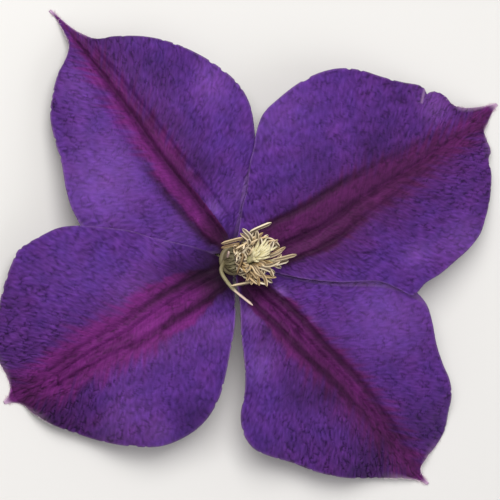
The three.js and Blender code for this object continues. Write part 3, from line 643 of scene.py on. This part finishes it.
def sepal_piece(name, sepal, material):
    """One sepal: a thin sheet between its margins, its face at face_height and never below the floor, and
    its back a blade's thickness lower. Returns the places of its face."""
    grid = sepal_grid(sepal)
    find_bar(sepal, grid)
    find_skin(sepal, grid)
    blade = BLADE_AT_MARGIN + (BLADE - BLADE_AT_MARGIN) * (1 - grid.out ** 10)
    z = np.maximum(face_height(sepal, grid), blade)
    upper = placed(grid.flat[..., 0], grid.flat[..., 1], z)
    lower = upper - [0, 0, 1] * blade[..., None]
    places = np.concatenate([upper.reshape(-1, 3), lower.reshape(-1, 3)])
    marks = {mark: np.tile(np.broadcast_to(values, z.shape).ravel(), 2)
             for mark, values in sepal_marks(sepal, grid).items()}
    marks["back"] = np.repeat([0, 1], z.size)
    faces = sheet_faces(SEPAL_ROWS, SEPAL_COLUMNS)
    mesh_piece(name, places, faces, material, sepal["node"], marks)
    return upper


def tip_down(name, sepal, upper, material):
    """Silky hairs along both margins near the tip of a sepal. They point outwards and ahead, a little up,
    and bend towards the tip."""
    rng = np.random.default_rng(sepal["seed"])
    share = 0.99 - TIP_DOWN_REACH * rng.random(TIP_HAIRS) ** 1.4
    row = np.minimum((share * (SEPAL_ROWS - 1)).astype(int), SEPAL_ROWS - 2)
    column = rng.choice([0, SEPAL_COLUMNS - 1], TIP_HAIRS)
    roots = upper[row, column] - [0, 0, 0.1]
    ahead = upper[row + 1, column] - upper[row, column]
    aside = upper[row, column] - upper[row, SEPAL_COLUMNS // 2]
    ahead, aside = (way / np.linalg.norm(way, axis=1, keepdims=True) for way in (ahead, aside))
    way = 0.8 * ahead + aside * rng.uniform(0.2, 1, (TIP_HAIRS, 1)) + rng.normal(0, 0.35, (TIP_HAIRS, 3))
    way /= np.linalg.norm(way, axis=1, keepdims=True)
    way[:, 2] = np.abs(way[:, 2])
    length = rng.uniform(0.3, 0.8, (TIP_HAIRS, 1))
    hairs(name, roots, way * length, 0.3 * length * ahead * [1, 1, 0], material, "sepal", sepal["node"])


def hairs(name, roots, reach, bend, material, slot, stands_for):
    """Tapering hairs from their roots, each three-sided, that reach out by reach and bend over by bend:
    a hair's line is root + reach t + bend t2."""
    share = np.linspace(0, 1, HAIR_STATIONS)[None, :, None]
    lines = roots[:, None] + reach[:, None] * share + bend[:, None] * share ** 2
    x, y = circle(HAIR_SIDES)
    girth = HAIR_RADIUS * (1 - 0.85 * share)
    tubes(name, lines, np.cross(reach, [0.3, 0.5, 0.8]), girth * x, girth * y, material, slot, stands_for)


def sheet_faces(rows, columns):
    """The faces of a closed sheet: a grid of squares on top, the same grid turned over below, and a rim."""
    i, j = np.meshgrid(np.arange(rows - 1), np.arange(columns - 1), indexing="ij")
    first = (i * columns + j).ravel()
    top = np.stack([first, first + 1, first + columns + 1, first + columns], axis=1)
    below = rows * columns
    walk = np.concatenate([
        np.arange(columns - 1),
        np.arange(rows - 1) * columns + columns - 1,
        (rows - 1) * columns + np.arange(columns - 1, 0, -1),
        np.arange(rows - 1, 0, -1) * columns,
    ])
    after = np.roll(walk, -1)
    rim = np.stack([walk, walk + below, after + below, after], axis=1)
    return np.concatenate([top, top[:, ::-1] + below, rim]).tolist()


# ---------------------------------------------------------------- stamens
# Stamens that stand out of the brush: the direction of the root on the collar, then the points
# [u, v, height] that the filament and the anther pass, the last two being the ends of the anther.
OUTSTANDING_STAMENS = [
    (75, [(4.1, 6.1, 16.2), (8.8, 8.3, 17.6)]),
    (98, [(4.2, 4.9, 18), (2.3, 7, 17.2)]),
    (116, [(3.8, 4.2, 17.4), (1.8, 6, 16.2)]),
    (138, [(2.2, 4.7, 16.4), (-2.4, 3.6, 15.2)]),
    (156, [(1.5, 3.5, 15.6), (-2.4, 2.7, 14)]),
    (130, [(3.4, 3.8, 17), (0.7, 2.4, 16.8)]),
    (176, [(-0.95, 0.9, 13.6), (-0.65, 1.85, 15.8)]),
    (200, [(2.5, 0.9, 19.2), (1.1, -3.2, 18)]),
    (66, [(5.4, 4.8, 17.8), (6.9, 6.1, 18.6)]),
    (50, [(6.6, 4.2, 17.6), (8, 5.6, 18.2)]),
    (34, [(8.3, 4.6, 16.8), (10.6, 2.9, 16.4)]),
    (18, [(9.2, 1.4, 16.8), (11.9, 2.9, 16.9)]),
    (2, [(8.1, -0.2, 16.8), (14.4, 1.2, 17)]),
    (-14, [(8.2, -1.1, 16.4), (12.6, -0.1, 16)]),
    (-32, [(6.6, -1.6, 17.6), (9.6, -2.8, 16.8)]),
    (-50, [(6.4, -3.4, 16.2), (9, -5, 15)]),
    (252, [(4.6, -3.4, 16.4), (3, -4.8, 15.2)]),
    (222, [(2.6, -3.6, 13.2), (5.4, -4.4, 14.6), (-0.3, -5.8, 13.2)]),
    (190, [(-2.4, -2.4, 10.9), (-0.2, -5.9, 11.6), (4.7, -10.1, 12.4)]),
]
BRUSH_LEAN = 9
SPREAD_TOWARDS = 15
COLLAR_TOP = 9.5
WHITE_TIP = 6  # the place in the list of a tip that points at the viewer, pale as one that holds no pollen
BROWN_ANTHER = 7  # and of an emptied anther, broad and brown all over
BROADEST = len(OUTSTANDING_STAMENS) - 1  # and of the stamen with the broad filament
BROAD_FILAMENT = 0.625, 0.42  # its half width and half depth
ROOT_RING = 2.7  # radius of the ring that the filaments rise from
STAMENS_BY_RULE = 38
INNER_STAMENS = 44
GOLDEN_ANGLE = 137.508
STAMEN_STATIONS = 44
STAMEN_SIDES = 16
COLLAR_SIDES = 64
ANTHER_FROM = 0.62  # share of a stamen's length
FILAMENT = 0.25, 0.13  # half width and half depth
ANTHER = 0.42, 0.24
TONE_SEED = 5  # of the anthers' sizes and tones


def draw(k, n):
    """The n-th draw of 0..1 for the k-th stamen of the brush."""
    wide = math.sin(k * 12.9898 + n * 78.233) * 43758.5453
    return wide - math.floor(wide)


def leaning(radius, degrees, z):
    """A place of the brush, which leans to the right, the more the higher it is."""
    turn = math.radians(degrees)
    lean = (z - CLAW_HEIGHT) * math.tan(math.radians(BRUSH_LEAN))
    return (radius * math.cos(turn) + lean, radius * math.sin(turn), z)


def filament_root(degrees):
    """The two lowest points of a filament, in the collar and just above it."""
    return [leaning(ROOT_RING + step, degrees, COLLAR_TOP + rise) for step, rise in ((0, -0.7), (0.2, 0.3))]


def brush_line(k):
    """The points of the k-th stamen of the brush. Roots wind round the collar by the golden angle, inner
    filaments stand straighter and taller, and each anther leans out, swings to one side and bends over."""
    turn = k * GOLDEN_ANGLE
    outward = (k + 0.5) / STAMENS_BY_RULE
    swing = 90 * (draw(k, 3) - 0.5)
    step = 2 + 0.5 * draw(k, 2)
    spread = 0.6 + 0.4 * math.cos(math.radians(turn - SPREAD_TOWARDS))
    radius = 2.4 + 1.3 * outward * spread + 0.4 * draw(k, 4)
    z = 16 - 2.2 * outward + 1.2 * draw(k, 1)
    points = filament_root(turn)
    points += [leaning(2.6 + 0.7 * outward, turn, 12.3), leaning(radius, turn + swing / 6, z)]
    for share in (0.5, 1):
        climb = 84 - spread * (22 + 40 * outward + 75 * (share - 0.5) * draw(k, 5) + 10 * draw(k, 6))
        radius += step * math.cos(math.radians(climb)) * math.cos(math.radians(swing * share))
        z += step * math.sin(math.radians(climb))
        points.append(leaning(radius, turn + swing * share * 0.8, z))
    return points


def inner_line(k):
    """The points of the k-th inner stamen. It leans in over the pistil and its anther arches out again,
    swings to one side and curls under at the tip, so that all of them together spill from the middle."""
    turn = k * GOLDEN_ANGLE + 30
    top = 15.4 + 1.6 * draw(k, 11)
    swing = 110 * (draw(k, 12) - 0.5)
    reach = 1.4 + 1.7 * draw(k, 13)
    curl = 0.4 + 1.6 * draw(k, 14)
    return [
        *filament_root(turn),
        leaning(2.1, turn, 12.3),
        leaning(1.3, turn, top - 0.9),
        leaning(1.5, turn + swing / 4, top + 0.2),
        leaning(1.3 + 0.6 * reach, turn + swing / 2, top + 0.7),
        leaning(1.3 + reach, turn + swing, top + 0.7 - 0.6 * curl),
        leaning(1.3 + reach - 0.3 * curl, turn + 1.35 * swing, top + 0.5 - curl),
    ]


def carried_frames(lines, wide):
    """Along lines (n, stations, 3), the broad side's direction and the one square to it and to the line.
    The first starts as wide and is carried along without twist: at each station its part along the line is
    taken off."""
    ahead = np.gradient(lines, axis=1)
    ahead /= np.linalg.norm(ahead, axis=2, keepdims=True)
    broad = np.empty_like(lines)
    for k in range(lines.shape[1]):
        wide = wide - (wide * ahead[:, k]).sum(1, keepdims=True) * ahead[:, k]
        wide = wide / np.linalg.norm(wide, axis=1, keepdims=True)
        broad[:, k] = wide
    return broad, np.cross(ahead, broad)


def tube_faces(tubes, rings, sides):
    """The faces of closed tubes: squares between the rings and one flat face over each end."""
    ring, side = np.meshgrid(np.arange(rings - 1), np.arange(sides), indexing="ij")
    here = (ring * sides + side).ravel()
    beside = (ring * sides + (side + 1) % sides).ravel()
    squares = np.stack([here, beside, beside + sides, here + sides], axis=1)
    step = rings * sides
    body = (squares[None] + np.arange(tubes)[:, None, None] * step).reshape(-1, 4).tolist()
    starts = [list(range(n * step + sides - 1, n * step - 1, -1)) for n in range(tubes)]
    ends = [list(range((n + 1) * step - sides, (n + 1) * step)) for n in range(tubes)]
    return body + starts + ends


def circle(sides, start=0.0):
    """The cosines and the sines of evenly spaced turns."""
    turn = np.linspace(0, 2 * np.pi, sides, endpoint=False) + start
    return np.cos(turn), np.sin(turn)


def tubes(name, lines, wide, across, depth, material, slot, stands_for, marks=None):
    """A piece of tubes along lines (n, stations, 3). A ring's places are line + across broad + depth deep,
    in the directions of carried_frames, where across and depth hold a value for each side."""
    broad, deep = carried_frames(lines, wide)
    rings = lines[:, :, None] + broad[:, :, None] * across[..., None] + deep[:, :, None] * depth[..., None]
    shape = rings.shape[:3]
    marks = {mark: np.broadcast_to(values, shape) for mark, values in (marks or {}).items()}
    mesh_piece(name, rings.reshape(-1, 3), tube_faces(*shape), material, stands_for, marks)


def stamen_brush(material):
    """All the stamens. Each is a strap along its line: a flat oval filament, then an anther of two round
    pollen sacs side by side with a furrow between them, which narrows to a blunt tip. At x of -1..1 across
    the anther, a sac is as deep as a circle over half of that width: 2 sqrt(1/4 - (|x| - 1/2)2)."""
    routes = [[*filament_root(root), *(placed(*point) for point in path)]
              for root, path in OUTSTANDING_STAMENS]
    routes += [brush_line(k) for k in range(STAMENS_BY_RULE)]
    routes += [inner_line(k) for k in range(INNER_STAMENS)]
    count = len(routes)
    share = np.linspace(0, 1, STAMEN_STATIONS)
    lines = np.stack([smooth_line(route, share) for route in routes])
    x, y = circle(STAMEN_SIDES, np.pi / STAMEN_SIDES)
    sacs = 2 * np.sign(y) * np.maximum(np.sqrt(np.maximum(0.25 - (np.abs(x) - 0.5) ** 2, 0)), 0.08)

    share = share[None, :, None]
    tone = np.random.default_rng(TONE_SEED).random(count)[:, None, None]
    is_anther = ramp(share, ANTHER_FROM - 0.03, ANTHER_FROM + 0.03)
    blunt = np.sqrt(np.clip((1 - share) / 0.07, 0.02, 1))
    filament, thick = (np.full((count, 1, 1), size) for size in FILAMENT)
    filament[BROADEST], thick[BROADEST] = BROAD_FILAMENT
    anther = ANTHER[0] * (0.8 + 0.35 * tone)
    anther[BROADEST] = 0.95 * ANTHER[0]
    anther[BROWN_ANTHER] *= 1.4
    pale, brown = np.zeros((2, count, 1, 1))
    pale[[WHITE_TIP, BROADEST]] = 1
    brown[BROWN_ANTHER] = 0.65
    across = (filament + (anther - filament) * is_anther) * blunt * x
    depth = blunt * (thick * (1 - is_anther) * y + ANTHER[1] * is_anther * sacs)
    furrow = (1 - ramp(np.abs(x), 0.35, 0.85)) * (0.75 + 0.25 * tone) * (1 - 0.8 * pale)
    marks = dict(
        anther=is_anther,
        furrow=is_anther * (furrow + brown),
        blush=ramp(share, 0.55, 0.75) * pale * 0.85,
        root=1 - ramp(share, 0.1, 0.5),
        tone=tone,
    )
    wide = np.cross([0, 0, 1], lines[:, 0] * [1, 1, 0])
    tubes("stamen_brush", lines, wide, across, depth, material, "stamen", "stamens", marks)


def turned(profile, sides):
    """The rings (n, sides, 3) of a profile of (radius, height) points turned about the flower's axis."""
    profile = np.array(profile, float)
    x, y = circle(sides)
    radius, height = profile[:, :1], profile[:, 1:]
    return np.stack([radius * x, radius * y, height + 0 * x], axis=-1)


def stamen_collar(material):
    """The low ring that carries the stamens: a closed section turned about the flower's axis."""
    section = [(1.95, 8.6), (3.3, 8.6), (3.4, 9.0), (3.1, 9.4), (2.6, 9.5), (2.0, 9.4)]
    places = turned(section, COLLAR_SIDES).reshape(-1, 3)
    here = np.arange(len(places)).reshape(len(section), COLLAR_SIDES)
    beside = np.roll(here, -1, axis=1)
    squares = np.stack([here, beside, np.roll(beside, -1, axis=0), np.roll(here, -1, axis=0)], axis=-1)
    marks = {"root": np.ones(len(places))}
    faces = squares.reshape(-1, 4).tolist()
    mesh_piece("stamen_collar", places, faces, material, "stamens", marks)


STYLES = 36
STYLE_STATIONS = 20
STYLE_SIDES = 8
STYLES_BEND = (2.2, 2.5)  # how far to the right and up the tops of the styles bend, for the viewer
STALK_SIDES = 96
STALK_RIBS = 12
RIB_HEIGHT = 0.035  # share of the stalk's radius
STALK_HAIRS = 260
STALK_DOWN_SEED = 8


def pistil_tuft(material):
    """The pistil: slim styles that taper to curled ends, in a close tuft that leans with the brush, bends
    over at the top and ends in a round pale mop."""
    share = np.linspace(0, 1, STYLE_STATIONS)
    routes = []
    for k in range(STYLES):
        out = math.sqrt((k + 0.5) / STYLES)
        turn = k * GOLDEN_ANGLE
        top = 18.4 - 1.2 * out + 0.8 * draw(k, 7)
        splay = 0.5 + 1.6 * out * (0.6 + 0.4 * draw(k, 8))
        bend_x, bend_y = (bend * (0.7 + 0.6 * draw(k, 9)) for bend in STYLES_BEND)
        root_x, root_y, _ = leaning(0.55 * out, turn, 16.6)
        tip_x, tip_y, _ = leaning(splay, turn, top)
        routes.append([
            leaning(0.7 * out, turn, 9),
            leaning(0.9 * out, turn, 12.5),
            leaning(0.6 * out, turn, 15.4),
            (root_x + 0.25 * bend_x, root_y + 0.25 * bend_y, 16.8),
            (tip_x + 0.75 * bend_x, tip_y + 0.75 * bend_y, top + 0.5),
            (1.25 * tip_x + bend_x, 1.25 * tip_y + bend_y, top + 0.3 - 1.1 * draw(k, 10)),
        ])
    lines = np.stack([smooth_line(route, share) for route in routes])
    wide = np.tile([1.0, 0, 0], (STYLES, 1))
    x, y = circle(STYLE_SIDES)
    girth = np.interp(share, [0, 0.3, 0.9, 1], [0.32, 0.25, 0.26, 0.13])[None, :, None]
    marks = {"tip": ramp(share, 0.45, 0.95)[None, :, None]}
    tubes("pistil_tuft", lines, wide, girth * x, girth * y, material, "pistil", "pistil", marks)


def cut_stalk(material):
    """The stalk under the flower and the disc that carries the sepals: a profile turned about the flower's
    axis and made 1 + RIB_HEIGHT rib times as wide, where rib is (1 + cos(STALK_RIBS turn)) / 2."""
    profile = [(0.05, 0.45), (1.0, 0.4), (1.12, 0.6), (1.09, 2), (1.09, 3.4), (1.2, 4.6), (1.5, 5.3),
               (2.5, 5.8), (3.2, 6.15), (3.3, 6.45), (3.1, 6.7), (1.9, 6.75), (1.6, 7.3), (1.6, 8),
               (0.05, 8.1)]
    rings = turned(profile, STALK_SIDES)
    rib = 0.5 + 0.5 * np.cos(STALK_RIBS * np.linspace(0, 2 * np.pi, STALK_SIDES, endpoint=False))
    rings[..., :2] *= (1 + RIB_HEIGHT * rib)[:, None]
    cut_end = np.arange(len(profile)) < 2
    marks = {"rib": np.tile(rib, len(profile)), "cut": np.repeat(cut_end, STALK_SIDES)}
    faces = tube_faces(1, len(profile), STALK_SIDES)
    mesh_piece("cut_stalk", rings.reshape(-1, 3), faces, material, "flower_stalk", marks)


def stalk_down(material):
    """Short hairs that stand off the stalk all round and point a little up."""
    rng = np.random.default_rng(STALK_DOWN_SEED)
    turn = rng.uniform(0, 2 * np.pi, STALK_HAIRS)
    out = np.stack([np.cos(turn), np.sin(turn), np.zeros(STALK_HAIRS)], axis=1)
    height = rng.uniform(0.8, 5, STALK_HAIRS)[:, None] * [0, 0, 1]
    length = rng.uniform(0.25, 0.6, (STALK_HAIRS, 1))
    way = out + rng.normal(0, 0.3, (STALK_HAIRS, 3))
    roots = 1.05 * out + height
    hairs("stalk_down", roots, way * length, [0, 0, 0.3] * length, material, "stalk", "flower_stalk")


# ---------------------------------------------------------------- the flower
velvet = velvety_sepal()
down = white_down()
for piece_name, sepal_form in SEPALS.items():
    face_places = sepal_piece(piece_name, sepal_form, velvet)
    tip_down(piece_name + "_down", sepal_form, face_places, down)
papery = dry_stamen()
stamen_brush(papery)
stamen_collar(papery)
pistil_tuft(silky_pistil())
cut_stalk(green_stalk())
stalk_down(down)


# ---------------------------------------------------------------- floor, light and camera
PHOTO_PIXELS = 500
PIXELS_PER_MM = 4.5
FLOWER_AXIS_PIXEL = (232, 260)  # where the claws meet, in the photograph's frame
CAMERA_AWAY = 1500
SENSOR = 36
FLOOR_REACH = 2  # metres each way from the middle
LAMP_AWAY = 0.7  # metres


def plain_floor():
    """A wide pale floor at the height that the flower lies on."""
    mesh = bpy.data.meshes.new("floor")
    corners = [(x * FLOOR_REACH, y * FLOOR_REACH, 0) for x, y in ((-1, -1), (1, -1), (1, 1), (-1, 1))]
    mesh.from_pydata(corners, [], [(0, 1, 2, 3)])
    material, _ = new_material("pale matte board")
    mesh.materials.append(surfaced(material, Base_Color="#dcdad6", Roughness=0.9))
    floor = bpy.data.objects.new("floor", mesh)
    bpy.context.scene.collection.objects.link(floor)


def soft_light(name, direction, size, power, colour):
    """A square soft box LAMP_AWAY from the flower in the given direction, facing it."""
    lamp = bpy.data.lights.new(name, "AREA")
    lamp.size = size
    lamp.energy = power
    lamp.color = linear(colour)[:3]
    box = bpy.data.objects.new(name, lamp)
    towards = Vector(direction).normalized()
    box.location = towards * LAMP_AWAY
    box.rotation_euler = towards.to_track_quat("Z", "Y").to_euler()
    bpy.context.scene.collection.objects.link(box)


def camera_at_the_viewer():
    """The camera faces the flower as the viewer does, through a long lens, so that a millimetre at the
    claws is PIXELS_PER_MM of the photograph's pixels."""
    right = Vector((TILT_COS, 0, TILT_SIN))
    up = Vector((0, 1, 0))
    back = right.cross(up)
    centre = PHOTO_PIXELS / 2
    aim = Vector(AXIS) + Vector((0, 0, CLAW_HEIGHT))
    aim += right * ((centre - FLOWER_AXIS_PIXEL[0]) / PIXELS_PER_MM)
    aim += up * ((FLOWER_AXIS_PIXEL[1] - centre) / PIXELS_PER_MM)
    lens = bpy.data.cameras.new("camera")
    lens.sensor_width = SENSOR
    lens.lens = SENSOR * CAMERA_AWAY * PIXELS_PER_MM / PHOTO_PIXELS
    lens.clip_end = 10
    camera = bpy.data.objects.new("camera", lens)
    turn = Matrix((right, up, back)).transposed().to_4x4()
    camera.matrix_world = Matrix.Translation((aim + back * CAMERA_AWAY) * MM) @ turn
    bpy.context.scene.collection.objects.link(camera)
    bpy.context.scene.camera = camera


plain_floor()
soft_light("sky_box", (-0.3, 0.42, 0.9), 0.5, 5, "#ffffff")
soft_light("fill_box", (0.7, -0.5, 0.6), 0.8, 1.6, "#f4f2ff")
camera_at_the_viewer()
world = bpy.data.worlds.new("studio air")
world.use_nodes = True
world.node_tree.nodes["Background"].inputs["Color"].default_value = linear("#ffffff")
world.node_tree.nodes["Background"].inputs["Strength"].default_value = 0.38
bpy.context.scene.world = world
bpy.context.scene.view_settings.view_transform = "Standard"
